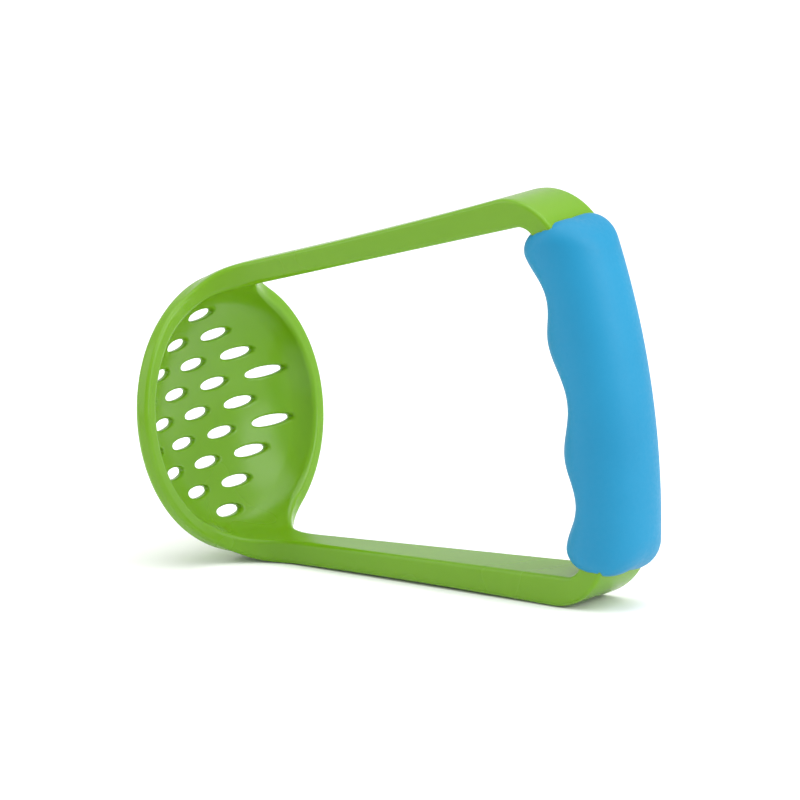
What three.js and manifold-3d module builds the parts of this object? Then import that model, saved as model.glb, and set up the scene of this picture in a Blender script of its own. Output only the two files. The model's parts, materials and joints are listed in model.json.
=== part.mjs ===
// Hand masher: a one-piece moulded frame (slotted dish, two arms and a handle bar) with a soft
// grip moulded over the bar. Millimetres, +Z up. The tool lies on the flat outer face of its
// lower arm. Each sub-part is drawn in the tool's own axes: x from the dish to the handle,
// y across the tool, z along the handle.
import * as THREE from "three";
import { mergeVertices } from "three/addons/utils/BufferGeometryUtils.js";
import Module from "manifold-3d";

const wasm = await Module();
wasm.setup();

// Dish: middle surface x = DISH_SQUARE r^2 + DISH_FOURTH r^4, slightly wider across the tool.
const DISH_SQUARE = 0.0041;
const DISH_FOURTH = 5.3e-6;
const DISH_WALL = 2.2;
const DISH_OVAL = 1.05;
const DISH_SEGMENTS = 48;
const RIM_RADIUS = 37.3;
const RIM_HEIGHT = 15;
const RIM_DEPTH = 5;
const RIM_ROUND = 0.8;
const RIM_CURVE_STEPS = 2;
const BOWL_MOUTH_RADIUS = 34.7;
const WALL_STEPS = 5;
const OUTSIDE_WALL_RADIUS = 33;
const INSIDE_WALL_RADIUS = 35.4;

// Slots: long ellipses in staggered rows that fill a round field.
const SLOT_LENGTH = 11;
const SLOT_WIDTH = 2.9;
const SLOT_ROW_PITCH = 6.83;
const SLOT_COLUMN_PITCH = 8.5;
const SLOT_FIELD_RADIUS = 28;
const SLOT_CUT_FROM = -4;
const SLOT_CUT_TO = 12;
const SLOT_CURVE_STEPS = 6;

// Arms: they spread by ARM_SPREAD from the tool's middle plane and grow towards the handle.
const ARM_SPREAD = THREE.MathUtils.degToRad(8.5);
const ARM_REACH_AT_RIM = 39.9;
const ARM_THICKNESS_AT_RIM = 6.3;
const ARM_THICKNESS_GROWTH = 0.0219;
const ARM_WIDTH_AT_RIM = 9.8;
const ARM_WIDTH_GROWTH = 0.094;
const ARM_FOOT = 11.6;
const ARM_INNER_FOOT = 12.8;
const ARM_EDGE_ROUND = 0.9;
const CORNER_OUTER_RADIUS = 17;
const CORNER_INNER_RADIUS = 5;
const LOOP_CURVE_STEPS = 6;

// The share of an arm's width that the round of one edge takes.
const BEVEL_SHARE = 0.05;

// Webs: each arm spreads into the rim with a hollow fillet on both edges, and the rim swells
// under the arm to meet its outer face. WEB_SINK keeps a web just under the faces it joins.
const WEB_FILLET = 18;
const WEB_SEGMENTS = 96;
const WEB_SINK = 0.05;
const WEB_CURVE_STEPS = 8;
const FLARE_HEIGHT = 3.6;
const FLARE_REACH = 18;

// Handle: bar and grip share one bowed centre line, an arc about a point on the tool's axis.
const HANDLE_REACH = 142.2;
const HANDLE_BOW_RADIUS = 200.5;
const BAR_THICKNESS = 8.2;
const WINDOW_LENGTH = 12;
const WINDOW_WIDTH = 6;
const WINDOW_PITCH = 26;
const WINDOW_CURVE_STEPS = 2;
const MOULD_GAP = 0.3;

// Grip: a bent sleeve with finger grooves on its inner side.
const GRIP_HALF_LENGTH = 48.3;
const GRIP_SIDE = 12.8;
const GRIP_BACK = 11.8;
const GRIP_FRONT = 12.8;
const GRIP_SQUARENESS = 2.15;
const GRIP_END_ROUND = 5;
const GROOVE_DEPTH = 3.9;
const MIDDLE_RIDGE = 16.2;
const END_RIDGE = 43.2;
const GRIP_SEGMENTS = 28;
const GRIP_STEPS = 28;
const END_STEPS = 4;

// Corners of a geometry that are closer than this are one corner.
const MERGE_DISTANCE = 1e-4;

const greenPlastic = new THREE.MeshStandardMaterial({ color: 0x7ab829, roughness: 0.28, metalness: 0 });
const blueRubber = new THREE.MeshStandardMaterial({ color: 0x37a6dc, roughness: 0.6, metalness: 0 });

// A closed geometry as a solid that can be joined and cut.
function solid(geometry) {
  const bare = geometry.clone();
  bare.deleteAttribute("normal");
  bare.deleteAttribute("uv");
  const merged = mergeVertices(bare, MERGE_DISTANCE);
  return new wasm.Manifold(
    new wasm.Mesh({
      numProp: 3,
      vertProperties: merged.attributes.position.array,
      triVerts: new Uint32Array(merged.index.array),
    }),
  );
}

// A solid back as a named mesh.
function namedMesh(name, shape, material) {
  const { vertProperties, triVerts } = shape.getMesh();
  const geometry = new THREE.BufferGeometry();
  geometry.setAttribute("position", new THREE.BufferAttribute(vertProperties, 3));
  geometry.setIndex(new THREE.BufferAttribute(triVerts, 1));
  geometry.computeVertexNormals();
  const mesh = new THREE.Mesh(geometry, material);
  mesh.name = name;
  return mesh;
}

// The dish wall's middle surface and its slope at a radius.
function dishDepth(radius) {
  return DISH_SQUARE * radius ** 2 + DISH_FOURTH * radius ** 4;
}

function dishSlope(radius) {
  return 2 * DISH_SQUARE * radius + 4 * DISH_FOURTH * radius ** 3;
}

// One face of the dish wall, as profile points from the axis outwards.
function wallFace(offset, lastRadius) {
  const points = [];
  for (let step = 0; step <= WALL_STEPS; step += 1) {
    const radius = (lastRadius * step) / WALL_STEPS;
    const slope = dishSlope(radius);
    const unit = offset / Math.hypot(1, slope);
    points.push(new THREE.Vector2(Math.max(radius - slope * unit, 0), dishDepth(radius) + unit));
  }
  return points;
}

function dishProfile() {
  const half = DISH_WALL / 2;
  const lipBottom = RIM_HEIGHT - RIM_DEPTH;
  const rim = new THREE.Path();
  rim.moveTo(RIM_RADIUS - RIM_ROUND, lipBottom);
  rim.lineTo(RIM_RADIUS, lipBottom + RIM_ROUND);
  rim.lineTo(RIM_RADIUS, RIM_HEIGHT - RIM_ROUND);
  rim.absarc(RIM_RADIUS - RIM_ROUND, RIM_HEIGHT - RIM_ROUND, RIM_ROUND, 0, Math.PI / 2);
  const mouth = BOWL_MOUTH_RADIUS + RIM_ROUND;
  rim.absarc(mouth, RIM_HEIGHT - RIM_ROUND, RIM_ROUND, Math.PI / 2, Math.PI);
  const outside = wallFace(-half, OUTSIDE_WALL_RADIUS);
  const inside = wallFace(half, INSIDE_WALL_RADIUS).reverse();
  return [...outside, ...rim.getPoints(RIM_CURVE_STEPS), ...inside];
}

// A profile turned about the tool's x axis, and then made a little wider across the tool.
function turned(profile, segments) {
  const round = new THREE.LatheGeometry(profile, segments);
  round.rotateZ(-Math.PI / 2);
  round.scale(1, DISH_OVAL, 1);
  return round;
}

// A bar with the given outline that runs along x from one place to another.
function prism(shape, from, to, curveSegments) {
  const bar = new THREE.ExtrudeGeometry(shape, { depth: to - from, bevelEnabled: false, curveSegments });
  bar.rotateY(Math.PI / 2);
  bar.translate(from, 0, 0);
  return bar;
}

// A slot's outline, long across the tool.
function slotShape() {
  const shape = new THREE.Shape();
  shape.absellipse(0, 0, SLOT_WIDTH / 2, SLOT_LENGTH / 2, 0, 2 * Math.PI);
  return shape;
}

function cutSlots(dish) {
  let cut = dish;
  const rows = Math.floor(SLOT_FIELD_RADIUS / SLOT_ROW_PITCH);
  const columns = Math.floor(SLOT_FIELD_RADIUS / SLOT_COLUMN_PITCH);
  for (let row = -rows; row <= rows; row += 1) {
    for (let column = -columns; column <= columns; column += 1) {
      const y = column * SLOT_COLUMN_PITCH;
      const z = row * SLOT_ROW_PITCH;
      const staggered = (row + column) % 2 === 0;
      if (!staggered || Math.hypot(y, z) > SLOT_FIELD_RADIUS) continue;
      const cutter = prism(slotShape(), SLOT_CUT_FROM, SLOT_CUT_TO, SLOT_CURVE_STEPS);
      cut = cut.subtract(solid(cutter.translate(0, y, z)));
    }
  }
  return cut;
}

// The centre of the handle's bow, on the tool's x axis.
const bowCentre = new THREE.Vector2(HANDLE_REACH - HANDLE_BOW_RADIUS, 0);

// Outer and inner edge of the upper arm, each as a line z = at + slope (x - RIM_HEIGHT), moved
// outwards by grow.
function outerEdge(grow) {
  return { at: ARM_REACH_AT_RIM + grow / Math.cos(ARM_SPREAD), slope: Math.tan(ARM_SPREAD) };
}

function innerEdge(grow) {
  const at = ARM_REACH_AT_RIM - (ARM_THICKNESS_AT_RIM + grow) / Math.cos(ARM_SPREAD);
  return { at, slope: Math.tan(ARM_SPREAD) - ARM_THICKNESS_GROWTH / Math.cos(ARM_SPREAD) };
}

function onEdge(edge, x) {
  return new THREE.Vector2(x, edge.at + edge.slope * (x - RIM_HEIGHT));
}

// The arc that rounds an arm edge into an edge of the handle bar: it touches the line from
// below and the bar's arc of the given radius from inside.
function cornerArc(edge, barRadius, radius) {
  const along = new THREE.Vector2(1, edge.slope).normalize();
  const down = new THREE.Vector2(along.y, -along.x);
  const start = onEdge(edge, RIM_HEIGHT).addScaledVector(down, radius).sub(bowCentre);
  const middle = start.dot(along);
  const reach = barRadius - radius;
  const travel = -middle + Math.sqrt(middle ** 2 - start.lengthSq() + reach ** 2);
  const centre = start.addScaledVector(along, travel);
  const barAngle = centre.angle();
  centre.add(bowCentre);
  return { centre, radius, lineAngle: Math.PI / 2 + along.angle(), barAngle };
}

// The outline of arms and handle bar in the tool's x-z plane, grown by a margin all round.
function loopShape(grow) {
  const outerBar = HANDLE_BOW_RADIUS + BAR_THICKNESS / 2 + grow;
  const innerBar = HANDLE_BOW_RADIUS - BAR_THICKNESS / 2 - grow;
  const outer = cornerArc(outerEdge(grow), outerBar, CORNER_OUTER_RADIUS + grow);
  const inner = cornerArc(innerEdge(grow), innerBar, CORNER_INNER_RADIUS - grow);
  const { x: bowX, y: bowZ } = bowCentre;
  const outerRoot = onEdge(outerEdge(grow), RIM_HEIGHT);
  const innerRoot = onEdge(innerEdge(grow), ARM_INNER_FOOT);
  const foot = new THREE.Vector2(ARM_FOOT, RIM_RADIUS - RIM_ROUND);
  const shape = new THREE.Shape();
  shape.moveTo(foot.x, -foot.y);
  shape.lineTo(outerRoot.x, -outerRoot.y);
  shape.absarc(outer.centre.x, -outer.centre.y, outer.radius, -outer.lineAngle, -outer.barAngle);
  shape.absarc(bowX, bowZ, outerBar, -outer.barAngle, outer.barAngle);
  shape.absarc(outer.centre.x, outer.centre.y, outer.radius, outer.barAngle, outer.lineAngle);
  shape.lineTo(outerRoot.x, outerRoot.y);
  shape.lineTo(foot.x, foot.y);
  shape.lineTo(innerRoot.x, innerRoot.y);
  shape.absarc(inner.centre.x, inner.centre.y, inner.radius, inner.lineAngle, inner.barAngle, true);
  shape.absarc(bowX, bowZ, innerBar, inner.barAngle, -inner.barAngle, true);
  shape.absarc(inner.centre.x, -inner.centre.y, inner.radius, -inner.barAngle, -inner.lineAngle, true);
  shape.lineTo(innerRoot.x, -innerRoot.y);
  shape.closePath();
  return shape;
}

function armWidth(x) {
  return ARM_WIDTH_AT_RIM + ARM_WIDTH_GROWTH * (x - RIM_HEIGHT);
}

// Arms and bar: the outline is given a depth of 1, and then each place gets its own width.
function loopSolid(grow) {
  const loop = new THREE.ExtrudeGeometry(loopShape(grow), {
    depth: 1 - 2 * BEVEL_SHARE,
    bevelThickness: BEVEL_SHARE,
    bevelSize: ARM_EDGE_ROUND,
    bevelOffset: -ARM_EDGE_ROUND,
    bevelSegments: 1,
    curveSegments: LOOP_CURVE_STEPS,
  });
  loop.translate(0, 0, BEVEL_SHARE - 0.5);
  loop.rotateX(Math.PI / 2);
  const position = loop.attributes.position;
  for (let index = 0; index < position.count; index += 1) {
    const width = armWidth(position.getX(index)) + 2 * grow;
    position.setY(index, position.getY(index) * width);
  }
  return solid(loop);
}

// A ring round the dish's mouth that leans out with the arms. Its outer face swells towards
// the tool's middle plane.
function webRing() {
  const lean = Math.tan(ARM_SPREAD);
  const bottom = RIM_HEIGHT - RIM_DEPTH + WEB_SINK;
  const outer = RIM_RADIUS - WEB_SINK;
  const inner = BOWL_MOUTH_RADIUS + WEB_SINK;
  const profile = [
    [inner, bottom],
    [outer - RIM_ROUND, bottom],
    [outer, bottom + RIM_ROUND],
    [outer, RIM_HEIGHT],
    [outer + lean * WEB_FILLET, RIM_HEIGHT + WEB_FILLET],
    [inner + lean * WEB_FILLET, RIM_HEIGHT + WEB_FILLET],
    [inner, RIM_HEIGHT],
    [inner, bottom],
  ];
  const ring = turned(profile.map(([radius, x]) => new THREE.Vector2(radius, x)), WEB_SEGMENTS);
  const position = ring.attributes.position;
  for (let index = 0; index < position.count; index += 1) {
    const y = position.getY(index);
    const z = position.getZ(index);
    const radius = Math.hypot(y / DISH_OVAL, z);
    const middle = (outer + inner) / 2 + lean * Math.max(position.getX(index) - RIM_HEIGHT, 0);
    if (radius < middle) continue;
    const flare = FLARE_HEIGHT * Math.max(1 - Math.abs(y) / FLARE_REACH, 0) ** 2;
    position.setY(index, (y * (radius + flare)) / radius);
    position.setZ(index, (z * (radius + flare)) / radius);
  }
  return solid(ring);
}

// The outline of both webs across the tool: it narrows from the rim to the arm's own width.
function webShape() {
  const reach = ARM_WIDTH_AT_RIM / 2 + WEB_FILLET;
  const top = RIM_HEIGHT + WEB_FILLET;
  const shape = new THREE.Shape();
  shape.moveTo(0, -reach);
  shape.lineTo(RIM_HEIGHT, -reach);
  shape.absarc(top, -reach, WEB_FILLET, Math.PI, Math.PI / 2, true);
  shape.absarc(top, reach, WEB_FILLET, -Math.PI / 2, -Math.PI, true);
  shape.lineTo(0, reach);
  shape.closePath();
  return shape;
}

function webSolid() {
  const height = 2 * HANDLE_REACH;
  const options = { depth: height, bevelEnabled: false, curveSegments: WEB_CURVE_STEPS };
  const block = new THREE.ExtrudeGeometry(webShape(), options);
  const web = webRing().intersect(solid(block.translate(0, 0, -height / 2)));
  const { at, slope } = outerEdge(-WEB_SINK);
  const inset = -(at - slope * RIM_HEIGHT) * Math.cos(ARM_SPREAD);
  return web.trimByPlane([slope, 0, -1], inset).trimByPlane([slope, 0, 1], inset);
}

// A window's outline, long along the handle: two half rounds joined by straight sides.
function windowShape(clearance) {
  const radius = (WINDOW_WIDTH - clearance) / 2;
  const reach = (WINDOW_LENGTH - clearance) / 2 - radius;
  const shape = new THREE.Shape();
  shape.absarc(reach, 0, radius, -Math.PI / 2, Math.PI / 2);
  shape.absarc(-reach, 0, radius, Math.PI / 2, (3 * Math.PI) / 2);
  shape.closePath();
  return shape;
}

// Windows through the handle bar, where the soft grip locks to the frame.
function windows(clearance) {
  return [-1, 0, 1].map((place) => {
    const cutter = prism(windowShape(clearance), -BAR_THICKNESS, BAR_THICKNESS, WINDOW_CURVE_STEPS);
    cutter.translate(HANDLE_BOW_RADIUS, 0, 0);
    cutter.rotateY((-place * WINDOW_PITCH) / HANDLE_BOW_RADIUS);
    cutter.translate(bowCentre.x, 0, 0);
    return solid(cutter);
  });
}

function frameSolid() {
  const dish = solid(turned(dishProfile(), DISH_SEGMENTS));
  const frame = cutSlots(dish.add(webSolid()).add(loopSolid(0)));
  return windows(0).reduce((whole, window) => whole.subtract(window), frame);
}

// Groove depth, 0 to 1, at a distance along the grip: one wide groove between the middle
// ridges, and one groove for a single finger towards each end.
function groove(along) {
  const away = Math.abs(along);
  if (away < MIDDLE_RIDGE) return (1 + Math.cos((Math.PI * away) / MIDDLE_RIDGE)) / 2;
  if (away > END_RIDGE) return 0;
  const turn = (away - MIDDLE_RIDGE) / (END_RIDGE - MIDDLE_RIDGE);
  return (1 - Math.cos(2 * Math.PI * turn)) / 2;
}

// A point of the grip's surface: a direction round the section, a share of the full section,
// and a distance along the bowed centre line.
function gripPoint(angle, share, along) {
  const power = 2 / GRIP_SQUARENESS;
  const across = Math.cos(angle);
  const side = Math.sin(angle);
  const front = GRIP_FRONT - GROOVE_DEPTH * groove(along);
  const reach = (across > 0 ? GRIP_BACK : front) * share;
  const out = Math.sign(across) * Math.abs(across) ** power * reach;
  const turn = along / HANDLE_BOW_RADIUS;
  const radius = HANDLE_BOW_RADIUS + out;
  const y = Math.sign(side) * Math.abs(side) ** power * GRIP_SIDE * share;
  return new THREE.Vector3(bowCentre.x + radius * Math.cos(turn), y, radius * Math.sin(turn));
}

// The grip as a turned body with round ends, then shaped point by point.
function gripBody() {
  const round = GRIP_END_ROUND / GRIP_SIDE;
  const straight = GRIP_HALF_LENGTH - GRIP_END_ROUND;
  const profile = [new THREE.Vector2(0, -GRIP_HALF_LENGTH)];
  for (let step = 0; step <= END_STEPS; step += 1) {
    const angle = (Math.PI / 2) * (step / END_STEPS);
    const share = 1 - round + round * Math.sin(angle);
    profile.push(new THREE.Vector2(share, -straight - GRIP_END_ROUND * Math.cos(angle)));
  }
  for (let step = 1; step < GRIP_STEPS; step += 1) {
    profile.push(new THREE.Vector2(1, straight * ((2 * step) / GRIP_STEPS - 1)));
  }
  const end = profile.slice(0, END_STEPS + 2).map(({ x, y }) => new THREE.Vector2(x, -y));
  const body = new THREE.LatheGeometry([...profile, ...end.reverse()], GRIP_SEGMENTS);
  const position = body.attributes.position;
  for (let index = 0; index < position.count; index += 1) {
    const x = position.getX(index);
    const z = position.getZ(index);
    const point = gripPoint(Math.atan2(-z, x), Math.hypot(x, z), position.getY(index));
    position.setXYZ(index, point.x, point.y, point.z);
  }
  return solid(body);
}

// The grip fills the space round the bar, but for a gap, and its pegs fill the bar's windows.
function gripSolid() {
  const bar = loopSolid(MOULD_GAP);
  const room = windows(2 * MOULD_GAP).reduce((space, peg) => space.subtract(peg), bar);
  return gripBody().subtract(room);
}

const tool = new THREE.Group();
tool.add(namedMesh("masher_frame", frameSolid(), greenPlastic));
tool.add(namedMesh("soft_grip", gripSolid(), blueRubber));

// The tool is laid on the outer face of its lower arm, with its origin in the middle below it.
tool.rotation.y = -ARM_SPREAD;
tool.updateMatrixWorld(true);
const box = new THREE.Box3().setFromObject(tool, true);
tool.position.set(-(box.min.x + box.max.x) / 2, -(box.min.y + box.max.y) / 2, -box.min.z);

const masher = new THREE.Group();
masher.add(tool);

export default masher;
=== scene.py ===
"""Hand food masher: a glossy green moulding with a slotted dish, and a satin blue grip.

Shapes are worked out in the tool's own axes, in millimetres: h from the dish to the handle,
y across the tool and s along the handle. Each piece is a distance field, negative inside,
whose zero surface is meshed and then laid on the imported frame.
"""

import json
import math

import bpy
import numpy as np
from mathutils import Matrix, Vector


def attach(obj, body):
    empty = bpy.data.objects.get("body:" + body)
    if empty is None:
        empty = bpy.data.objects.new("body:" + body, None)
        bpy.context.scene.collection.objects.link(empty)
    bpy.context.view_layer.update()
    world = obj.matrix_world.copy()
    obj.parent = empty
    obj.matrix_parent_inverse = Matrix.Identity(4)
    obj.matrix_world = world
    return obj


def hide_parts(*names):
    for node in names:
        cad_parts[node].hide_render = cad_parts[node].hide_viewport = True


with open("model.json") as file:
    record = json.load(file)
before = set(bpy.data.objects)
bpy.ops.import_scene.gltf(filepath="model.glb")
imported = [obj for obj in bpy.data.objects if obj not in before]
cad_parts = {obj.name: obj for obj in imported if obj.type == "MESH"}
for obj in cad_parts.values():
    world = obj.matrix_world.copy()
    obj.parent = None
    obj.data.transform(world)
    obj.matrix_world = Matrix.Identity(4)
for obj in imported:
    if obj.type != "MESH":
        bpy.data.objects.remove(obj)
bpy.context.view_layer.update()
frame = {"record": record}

# Dish
DISH_SQUARE = 0.0041
DISH_FOURTH = 5.3e-6
DISH_WALL = 2.2
DISH_OVAL = 1.05
RIM_RADIUS = 37.3
RIM_HEIGHT = 15.0
RIM_DEPTH = 5.0
RIM_WIDTH = 2.7
RIM_FOOT_ROUND = 2.2
RIM_FOOT_BLEND = 2.0
MOUTH_FILLET = 5.0

# Slots
SLOT_LENGTH = 11.0
SLOT_WIDTH = 2.9
SLOT_ROW_PITCH = 6.83
SLOT_COLUMN_PITCH = 8.5
SLOT_FIELD_RADIUS = 28.0
SLOT_ROUND = 0.6

# Arms
ARM_SPREAD = math.radians(8.5)
ARM_REACH_AT_RIM = 39.9
ARM_THICKNESS_AT_RIM = 6.3
ARM_THICKNESS_GROWTH = 0.0219
ARM_WIDTH_AT_RIM = 9.8
ARM_WIDTH_GROWTH = 0.094
EDGE_ROUND = 1.2
ARM_BOW = 0.6
BOW_MIDDLE = 76.0
BOW_HALF_LENGTH = 52.0
FLARE_HEIGHT = 3.6
FLARE_LENGTH = 8.0
FLARE_GROWTH = 0.1
FLARE_REACH = 24.0
ROOT_BLEND = 1.6
WEB_FILLET = 18.0
FLAT_BLEND = 1.2
CORNER_OUTER_RADIUS = 17.0
CORNER_INNER_RADIUS = 5.0

# Handle bar and grip
HANDLE_REACH = 142.2
HANDLE_BOW_RADIUS = 200.5
BAR_THICKNESS = 8.2
BOW_CENTRE = HANDLE_REACH - HANDLE_BOW_RADIUS
GRIP_HALF_LENGTH = 48.3
GRIP_SIDE = 12.8
GRIP_BACK = 11.8
GRIP_FRONT = 12.8
GRIP_SQUARENESS = 2.15
GRIP_FRONT_ROUND = 6.5
GRIP_SIDE_ROUND = 5.5
GRIP_BACK_ROUND = 11.0
GROOVE_DEPTH = 3.9
MIDDLE_RIDGE = 16.2
END_RIDGE = 43.2
MOULD_OVERLAP = 0.7
SEAM_ROUND = 0.6

# Meshing, in millimetres: each piece is meshed in a box with a range along h, and halves
# across y and along s. A block of cells is sampled in full where its middle is within
# FAR_SHARE half diagonals of the surface. TINY keeps a divisor above zero.
FRAME_CELL = 0.55
FRAME_BOX_H = (-3.0, 148.0)
FRAME_BOX_Y = RIM_RADIUS * DISH_OVAL + 2
FRAME_BOX_S = 58.0
GRIP_CELL = 0.7
GRIP_BOX_H = (118.0, 157.0)
GRIP_BOX_Y = GRIP_SIDE + 2
GRIP_BOX_S = 54.0
BLOCK = 12
FAR_SHARE = 1.5
FAR_AWAY = 1e3
GRADIENT_STEP = 0.03
MIN_STEEPNESS = 0.25
LANDING_ROUNDS = 2
EVENING_ROUNDS = 3
TINY = 1e-9

# Materials: noise lies mostly between these two values. Colours are linear.
NOISE_LOW = 0.3
NOISE_HIGH = 0.7
GREEN_DARK = (0.124, 0.294, 0.003)
GREEN_LIGHT = (0.143, 0.320, 0.005)
BLUE_DARK = (0.003, 0.202, 0.378)
BLUE_LIGHT = (0.006, 0.222, 0.408)
FLOOR_WHITE = 0.96

# Camera, and the stage in metres
CAMERA_AZIMUTH = 37.212
CAMERA_ELEVATION = 12.227
CAMERA_ROLL = -1.388
CAMERA_DISTANCE = 4.0
CAMERA_LENS = 662.15
CAMERA_FAR = 50
AIM = (71.94, 0.0, 1.07)
FLOOR_HALF = 6.0
LAMP_AIM = (0, 0, 0.05)
WORLD_STRENGTH = 0.8

MM = 0.001


# ---------------------------------------------------------------- the tool's axes in the row
def tool_axes():
    """The matrix from the tool's millimetres to the row frame, from the dish's mount."""
    mounts = {mount["name"]: mount for mount in frame["record"]["mounts"]}
    face = mounts["mashing_face"]
    along = -Vector(face["axis"]).normalized()
    across = Vector((0, 1, 0))
    up = along.cross(across)
    origin = Vector(face["pos_m"]) + along * (DISH_WALL / 2 * MM)
    turn = Matrix((along, across, up)).transposed().to_4x4()
    return Matrix.Translation(origin) @ turn @ Matrix.Scale(MM, 4)


TOOL = tool_axes()


# ---------------------------------------------------------------- distance fields
def round_union(a, b, radius):
    """Both shapes, with a hollow fillet where they meet."""
    u = np.maximum(radius - a, 0)
    v = np.maximum(radius - b, 0)
    return np.maximum(radius, np.minimum(a, b)) - np.hypot(u, v)


def round_overlap(a, b, radius):
    """What the shapes share, with a rounded edge where their faces meet."""
    u = np.maximum(radius + a, 0)
    v = np.maximum(radius + b, 0)
    return np.minimum(-radius, np.maximum(a, b)) + np.hypot(u, v)


def soft_min(a, b, blend):
    """The lesser of two fields that meet at a shallow angle, eased over a short stretch."""
    return np.minimum(a, b) - np.maximum(blend - np.abs(a - b), 0) ** 2 / (4 * blend)


def arm_line(h, s, inset, slope):
    """Distance past an arm's edge, a straight line that spreads with the given slope."""
    edge = ARM_REACH_AT_RIM - inset + slope * (h - RIM_HEIGHT)
    return (np.abs(s) - edge) / math.hypot(1, slope)


def loop_outline(h, s):
    """The filled outline of arms and handle bar; the arms' outer faces are slightly hollow."""
    bow = ARM_BOW * np.maximum(1 - ((h - BOW_MIDDLE) / BOW_HALF_LENGTH) ** 2, 0)
    line = arm_line(h, s, bow, math.tan(ARM_SPREAD))
    bar = np.hypot(h - BOW_CENTRE, s) - (HANDLE_BOW_RADIUS + BAR_THICKNESS / 2)
    return round_overlap(line, bar, CORNER_OUTER_RADIUS)


def loop_space(h, s):
    """The open space inside arms and handle bar, seen from the side."""
    inset = ARM_THICKNESS_AT_RIM / math.cos(ARM_SPREAD)
    slope = math.tan(ARM_SPREAD) - ARM_THICKNESS_GROWTH / math.cos(ARM_SPREAD)
    line = arm_line(h, s, inset, slope)
    bar = np.hypot(h - BOW_CENTRE, s) - (HANDLE_BOW_RADIUS - BAR_THICKNESS / 2)
    return round_overlap(line, bar, CORNER_INNER_RADIUS)


def half_width(h):
    return (ARM_WIDTH_AT_RIM + ARM_WIDTH_GROWTH * (h - RIM_HEIGHT)) / 2


def dish_skin(h, r, side):
    """Distance below the dish's outer skin (side -1) or its inner skin (side 1)."""
    slope = 2 * DISH_SQUARE * r + 4 * DISH_FOURTH * r**3
    depth = DISH_SQUARE * r**2 + DISH_FOURTH * r**4
    return (depth - h) / np.hypot(1, slope) + side * DISH_WALL / 2


def body_outside(h, y, s, r):
    """The filled outer form, open above: dish, band round its mouth, arms' outer faces."""
    lean = math.tan(ARM_SPREAD)
    rise = np.maximum(h - RIM_HEIGHT, 0)
    foot_height = RIM_HEIGHT - RIM_DEPTH
    flare = FLARE_HEIGHT * (1 - np.exp(-np.maximum(h - foot_height, 0) / FLARE_LENGTH))
    flare = (flare + FLARE_GROWTH * rise) * np.maximum(1 - (y / FLARE_REACH) ** 2, 0) ** 2
    band = (r - RIM_RADIUS - flare - lean * rise) / math.hypot(1, lean)
    foot = soft_min(dish_skin(h, r, -1), foot_height - h, RIM_FOOT_BLEND)
    dish = round_overlap(band, foot, RIM_FOOT_ROUND)
    return -soft_min(-dish, -loop_outline(h, s), ROOT_BLEND)


def body_hollow(h, s, r):
    """The hollow of the dish, open above, with a flat where each arm's inner face meets it."""
    lean = math.tan(ARM_SPREAD)
    mouth = r - (RIM_RADIUS - RIM_WIDTH) - lean * np.maximum(h - RIM_HEIGHT, 0)
    bowl = round_overlap(mouth, dish_skin(h, r, 1), MOUTH_FILLET)
    return -soft_min(-bowl, -loop_space(h, s), FLAT_BLEND)


def slots_field(y, s):
    """The nearest slot of two straight lattices, one set between the other's slots."""
    nearest = np.full(np.shape(y), FAR_AWAY)
    step_y = 2 * SLOT_COLUMN_PITCH
    step_s = 2 * SLOT_ROW_PITCH
    for shift in (0.0, 0.5):
        centre_y = (np.round(y / step_y - shift) + shift) * step_y
        centre_s = (np.round(s / step_s - shift) + shift) * step_s
        along = (y - centre_y) / (SLOT_LENGTH / 2)
        across = (s - centre_s) / (SLOT_WIDTH / 2)
        share = np.maximum(np.hypot(along, across), TINY)
        steepness = np.hypot(along / (SLOT_LENGTH / 2), across / (SLOT_WIDTH / 2))
        slot = share * (share - 1) / np.maximum(steepness, TINY)
        real = np.hypot(centre_y, centre_s) <= SLOT_FIELD_RADIUS
        nearest = np.where(real, np.minimum(nearest, slot), nearest)
    return nearest


def frame_field(p):
    """The whole green moulding. The slots are left out where no point is down in the dish."""
    h, y, s = p[..., 0], p[..., 1], p[..., 2]
    r = np.hypot(y / DISH_OVAL, s)
    walls = np.maximum(body_outside(h, y, s, r), -body_hollow(h, s, r))
    top = round_union(np.abs(y) - half_width(h), h - RIM_HEIGHT, WEB_FILLET)
    body = round_overlap(walls, top, EDGE_ROUND)
    if h.min() >= RIM_HEIGHT:
        return body
    return round_overlap(body, -slots_field(y, s), SLOT_ROUND)


def groove(along):
    """Groove depth, 0 to 1: a wide groove in the middle and a narrow one towards each end."""
    away = np.abs(along)
    middle = (1 + np.cos(np.pi * away / MIDDLE_RIDGE)) / 2
    turn = (away - MIDDLE_RIDGE) / (END_RIDGE - MIDDLE_RIDGE)
    side = (1 - np.cos(2 * np.pi * np.clip(turn, 0, 1))) / 2
    return np.where(away < MIDDLE_RIDGE, middle, side)


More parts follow.
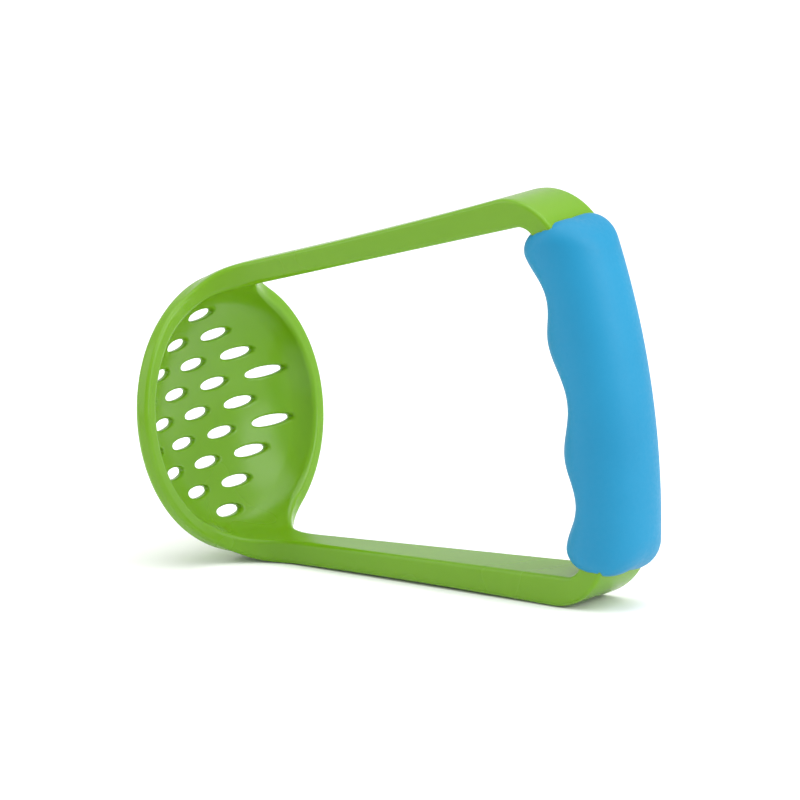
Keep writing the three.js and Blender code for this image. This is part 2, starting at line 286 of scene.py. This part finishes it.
def grip_field(p):
    """The grip: a bowed sleeve round the handle bar, whose hidden inner face is in the bar."""
    h, y, s = p[..., 0], p[..., 1], p[..., 2]
    out = np.hypot(h - BOW_CENTRE, s) - HANDLE_BOW_RADIUS
    along = HANDLE_BOW_RADIUS * np.arctan2(s, h - BOW_CENTRE)
    reach = np.where(out > 0, GRIP_BACK, GRIP_FRONT - GROOVE_DEPTH * groove(along))
    share = (np.abs(out) / reach) ** GRIP_SQUARENESS
    share = share + (np.abs(y) / GRIP_SIDE) ** GRIP_SQUARENESS
    share = np.maximum(share, TINY) ** (1 / GRIP_SQUARENESS)
    section = np.hypot(out, y) * (1 - 1 / share)
    facing = out**2 / np.maximum(out**2 + y**2, TINY)
    edge = np.where(out > 0, GRIP_BACK_ROUND, GRIP_FRONT_ROUND)
    edge = GRIP_SIDE_ROUND + (edge - GRIP_SIDE_ROUND) * facing
    body = round_overlap(section, np.abs(along) - GRIP_HALF_LENGTH, edge)
    return round_overlap(body, -MOULD_OVERLAP - frame_field(p), SEAM_ROUND)


# ---------------------------------------------------------------- meshing a field
def sampled(field, axes):
    """The field on a grid: true near the surface, and only its sign further away."""
    cell = axes[0][1] - axes[0][0]
    values = np.empty([len(axis) for axis in axes], np.float32)
    far = BLOCK * cell * math.sqrt(3) / 2 * FAR_SHARE
    for i in range(0, len(axes[0]), BLOCK):
        for j in range(0, len(axes[1]), BLOCK):
            for k in range(0, len(axes[2]), BLOCK):
                part = [axis[n : n + BLOCK] for axis, n in zip(axes, (i, j, k))]
                middle = np.array([[(a[0] + a[-1]) / 2 for a in part]])
                centre = field(middle)[0]
                if abs(centre) < far:
                    centre = field(np.stack(np.meshgrid(*part, indexing="ij"), -1))
                values[i : i + BLOCK, j : j + BLOCK, k : k + BLOCK] = centre
    return values


def crossing_cells(values, axes):
    """The cells that the surface passes through, each with a point on it, and their numbers."""
    inside = values < 0
    corners = [(a, b, c) for a in (0, 1) for b in (0, 1) for c in (0, 1)]
    shape = [n - 1 for n in values.shape]
    count = np.zeros(shape, np.int8)
    for a, b, c in corners:
        count += inside[a : a + shape[0], b : b + shape[1], c : c + shape[2]]
    cells = np.argwhere((count > 0) & (count < 8))
    number = np.full(shape, -1, np.int64)
    number[tuple(cells.T)] = np.arange(len(cells))
    total = np.zeros((len(cells), 3))
    hits = np.zeros(len(cells))
    for start in corners:
        for axis in range(3):
            if start[axis]:
                continue
            end = [start[n] + (n == axis) for n in range(3)]
            v0 = values[tuple((cells + start).T)]
            v1 = values[tuple((cells + end).T)]
            crossed = (v0 < 0) != (v1 < 0)
            share = np.where(crossed, v0 / np.where(crossed, v0 - v1, 1), 0)
            point = np.array(start, float) + np.eye(3)[axis] * share[:, None]
            total += np.where(crossed[:, None], point, 0)
            hits += crossed
    low = np.array([axis[0] for axis in axes])
    cell = axes[0][1] - axes[0][0]
    return low + (cells + total / hits[:, None]) * cell, number, inside


def surface_quads(number, inside):
    """One quad round each grid edge that the surface crosses, facing out."""
    quads = []
    for axis in range(3):
        b, c = (axis + 1) % 3, (axis + 2) % 3
        low = np.take(inside, range(inside.shape[axis] - 1), axis)
        high = np.take(inside, range(1, inside.shape[axis]), axis)
        edges = np.argwhere(low != high)
        edges = edges[(edges[:, b] > 0) & (edges[:, c] > 0)]
        outward = low[tuple(edges.T)]
        ring = []
        for back_b, back_c in ((1, 1), (0, 1), (0, 0), (1, 0)):
            place = edges.copy()
            place[:, b] -= back_b
            place[:, c] -= back_c
            ring.append(number[tuple(place.T)])
        ring = np.stack(ring, 1)
        quads.append(np.where(outward[:, None], ring, ring[:, ::-1]))
    return np.concatenate(quads)


def gradient(field, points):
    """The field's slope at points, by small steps both ways along each axis."""
    slope = np.empty_like(points)
    for axis in range(3):
        step = np.eye(3)[axis] * GRADIENT_STEP
        slope[:, axis] = field(points + step) - field(points - step)
    return slope / (2 * GRADIENT_STEP)


def on_surface(field, points, rounds):
    """Points moved along the field's slope onto its zero surface."""
    for _ in range(rounds):
        slope = gradient(field, points)
        steepness = np.maximum((slope**2).sum(1), MIN_STEEPNESS)
        points = points - slope * (field(points) / steepness)[:, None]
    return points


def evened(field, points, quads, rounds):
    """Points spread evenly over the surface: each moves to the mean of its neighbours."""
    pairs = np.concatenate([quads[:, [a, (a + 1) % 4]] for a in range(4)])
    count = np.bincount(pairs[:, 0], minlength=len(points))[:, None]
    for _ in range(rounds):
        mean = np.stack(
            [np.bincount(pairs[:, 0], points[pairs[:, 1], n], len(points)) for n in range(3)], 1
        )
        points = on_surface(field, (points + mean / count) / 2, 1)
    return points


def field_piece(name, field, box_h, box_y, box_s, cell):
    """A mesh object of a field's zero surface, in the row frame, in metres."""
    spans = (box_h, (-box_y, box_y), (-box_s, box_s))
    axes = [np.arange(low, high + cell, cell) for low, high in spans]
    points, number, inside = crossing_cells(sampled(field, axes), axes)
    quads = surface_quads(number, inside)
    points = on_surface(field, points, LANDING_ROUNDS)
    points = evened(field, points, quads, EVENING_ROUNDS)
    points = on_surface(field, points, LANDING_ROUNDS)
    normals = gradient(field, points)
    turn = np.array(TOOL)
    placed = points @ turn[:3, :3].T + turn[:3, 3]
    normals = normals @ turn[:3, :3].T
    normals /= np.linalg.norm(normals, axis=1)[:, None]
    mesh = bpy.data.meshes.new(name)
    mesh.from_pydata(placed.tolist(), [], quads.tolist())
    mesh.shade_smooth()
    mesh.normals_split_custom_set_from_vertices(normals.tolist())
    piece = bpy.data.objects.new(name, mesh)
    bpy.context.scene.collection.objects.link(piece)
    return piece


# ---------------------------------------------------------------- materials
def new_material(name):
    """A material with its nodes, its links and its shader."""
    material = bpy.data.materials.new(name)
    material.use_nodes = True
    nodes = material.node_tree.nodes
    return material, nodes, material.node_tree.links, nodes["Principled BSDF"]


def noise(nodes, links, scale, detail):
    """Noise over the object, with the scale in lumps per metre."""
    place = nodes.new("ShaderNodeTexCoord")
    texture = nodes.new("ShaderNodeTexNoise")
    texture.inputs["Scale"].default_value = scale
    texture.inputs["Detail"].default_value = detail
    links.new(place.outputs["Object"], texture.inputs["Vector"])
    return texture.outputs["Fac"]


def two_tone(nodes, links, source, low, high):
    """A noise value turned into a drift between two colours."""
    node = nodes.new("ShaderNodeValToRGB")
    stops = ((NOISE_LOW, low), (NOISE_HIGH, high))
    for element, (place, colour) in zip(node.color_ramp.elements, stops):
        element.position = place
        element.color = (*colour, 1)
    links.new(source, node.inputs["Fac"])
    return node.outputs["Color"]


def value_range(nodes, links, source, low, high):
    """A noise value stretched over a range."""
    node = nodes.new("ShaderNodeMapRange")
    node.inputs["From Min"].default_value = NOISE_LOW
    node.inputs["From Max"].default_value = NOISE_HIGH
    node.inputs["To Min"].default_value = low
    node.inputs["To Max"].default_value = high
    links.new(source, node.inputs["Value"])
    return node.outputs["Result"]


def bump(nodes, links, source, strength, distance):
    """Normals from a height value, with the distance in metres."""
    node = nodes.new("ShaderNodeBump")
    node.inputs["Strength"].default_value = strength
    node.inputs["Distance"].default_value = distance
    links.new(source, node.inputs["Height"])
    return node.outputs["Normal"]


def green_plastic():
    """Glossy polypropylene: a slightly uneven moulded skin that lets some light in."""
    material, nodes, links, shader = new_material("green_plastic")
    drift = noise(nodes, links, scale=18, detail=3)
    colour = two_tone(nodes, links, drift, GREEN_DARK, GREEN_LIGHT)
    links.new(colour, shader.inputs["Base Color"])
    haze = noise(nodes, links, scale=40, detail=1)
    roughness = value_range(nodes, links, haze, low=0.21, high=0.28)
    links.new(roughness, shader.inputs["Roughness"])
    skin = noise(nodes, links, scale=55, detail=0)
    relief = bump(nodes, links, skin, strength=0.05, distance=0.0004)
    links.new(relief, shader.inputs["Normal"])
    shader.inputs["Subsurface Weight"].default_value = 0.25
    shader.inputs["Subsurface Radius"].default_value = (0.6, 1.0, 0.1)
    shader.inputs["Subsurface Scale"].default_value = 0.003
    shader.inputs["Specular IOR Level"].default_value = 0.35
    shader.inputs["IOR"].default_value = 1.49
    return material


def blue_rubber():
    """Soft-touch rubber: a fine even grain on a satin skin."""
    material, nodes, links, shader = new_material("blue_rubber")
    drift = noise(nodes, links, scale=30, detail=4)
    colour = two_tone(nodes, links, drift, BLUE_DARK, BLUE_LIGHT)
    links.new(colour, shader.inputs["Base Color"])
    haze = noise(nodes, links, scale=900, detail=3)
    roughness = value_range(nodes, links, haze, low=0.46, high=0.60)
    links.new(roughness, shader.inputs["Roughness"])
    grain = noise(nodes, links, scale=3200, detail=2)
    relief = bump(nodes, links, grain, strength=0.15, distance=0.0001)
    links.new(relief, shader.inputs["Normal"])
    shader.inputs["Specular IOR Level"].default_value = 0.3
    shader.inputs["IOR"].default_value = 1.5
    return material


# ---------------------------------------------------------------- pieces
def make_frame():
    box = (FRAME_BOX_H, FRAME_BOX_Y, FRAME_BOX_S)
    piece = field_piece("moulded_frame", frame_field, *box, FRAME_CELL)
    piece.data.materials.append(green_plastic())
    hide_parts("masher_frame")
    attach(piece, "root")


def make_grip():
    box = (GRIP_BOX_H, GRIP_BOX_Y, GRIP_BOX_S)
    piece = field_piece("rubber_grip", grip_field, *box, GRIP_CELL)
    piece.data.materials.append(blue_rubber())
    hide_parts("soft_grip")
    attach(piece, "root")


# ---------------------------------------------------------------- camera, floor and light
def make_camera():
    """A long lens from far away, turned and rolled as the photograph's camera was."""
    data = bpy.data.cameras.new("camera")
    data.lens = CAMERA_LENS
    data.clip_end = CAMERA_FAR
    camera = bpy.data.objects.new("camera", data)
    bpy.context.scene.collection.objects.link(camera)
    azimuth = math.radians(CAMERA_AZIMUTH)
    elevation = math.radians(CAMERA_ELEVATION)
    flat = math.cos(elevation)
    back = Vector((math.sin(azimuth) * flat, -math.cos(azimuth) * flat, math.sin(elevation)))
    turn = (-back).to_track_quat("-Z", "Y").to_matrix().to_4x4()
    roll = Matrix.Rotation(math.radians(CAMERA_ROLL), 4, "Z")
    aim = TOOL @ Vector(AIM)
    camera.matrix_world = Matrix.Translation(aim + back * CAMERA_DISTANCE) @ turn @ roll
    bpy.context.scene.camera = camera


def make_floor():
    mesh = bpy.data.meshes.new("floor")
    turns = ((-1, -1), (1, -1), (1, 1), (-1, 1))
    corners = [(x * FLOOR_HALF, y * FLOOR_HALF, 0) for x, y in turns]
    mesh.from_pydata(corners, [], [(0, 1, 2, 3)])
    floor = bpy.data.objects.new("floor", mesh)
    bpy.context.scene.collection.objects.link(floor)
    material, _, _, shader = new_material("floor")
    shader.inputs["Base Color"].default_value = (FLOOR_WHITE, FLOOR_WHITE, FLOOR_WHITE, 1)
    shader.inputs["Roughness"].default_value = 0.9
    shader.inputs["Specular IOR Level"].default_value = 0.0
    mesh.materials.append(material)


def area_light(name, place, size, power):
    """A rectangular lamp that looks at the object, with sizes in metres and power in watts."""
    data = bpy.data.lights.new(name, "AREA")
    data.shape = "RECTANGLE"
    data.size, data.size_y = size
    data.energy = power
    light = bpy.data.objects.new(name, data)
    light.location = place
    towards = Vector(LAMP_AIM) - Vector(place)
    light.rotation_euler = towards.to_track_quat("-Z", "Y").to_euler()
    bpy.context.scene.collection.objects.link(light)


def make_light():
    world = bpy.data.worlds.new("studio")
    world.use_nodes = True
    sky = world.node_tree.nodes["Background"]
    sky.inputs["Color"].default_value = (1, 1, 1, 1)
    sky.inputs["Strength"].default_value = WORLD_STRENGTH
    bpy.context.scene.world = world
    area_light("top_softbox", place=(0.1, 0.1, 1.2), size=(1.4, 1.4), power=12)
    area_light("left_softbox", place=(-0.9, -0.7, 0.6), size=(0.8, 1.0), power=3.5)
    area_light("right_softbox", place=(1.0, 0.2, 0.6), size=(0.8, 1.0), power=8.5)
    bpy.context.scene.view_settings.view_transform = "Standard"


make_camera()
make_frame()
make_grip()
make_floor()
make_light()
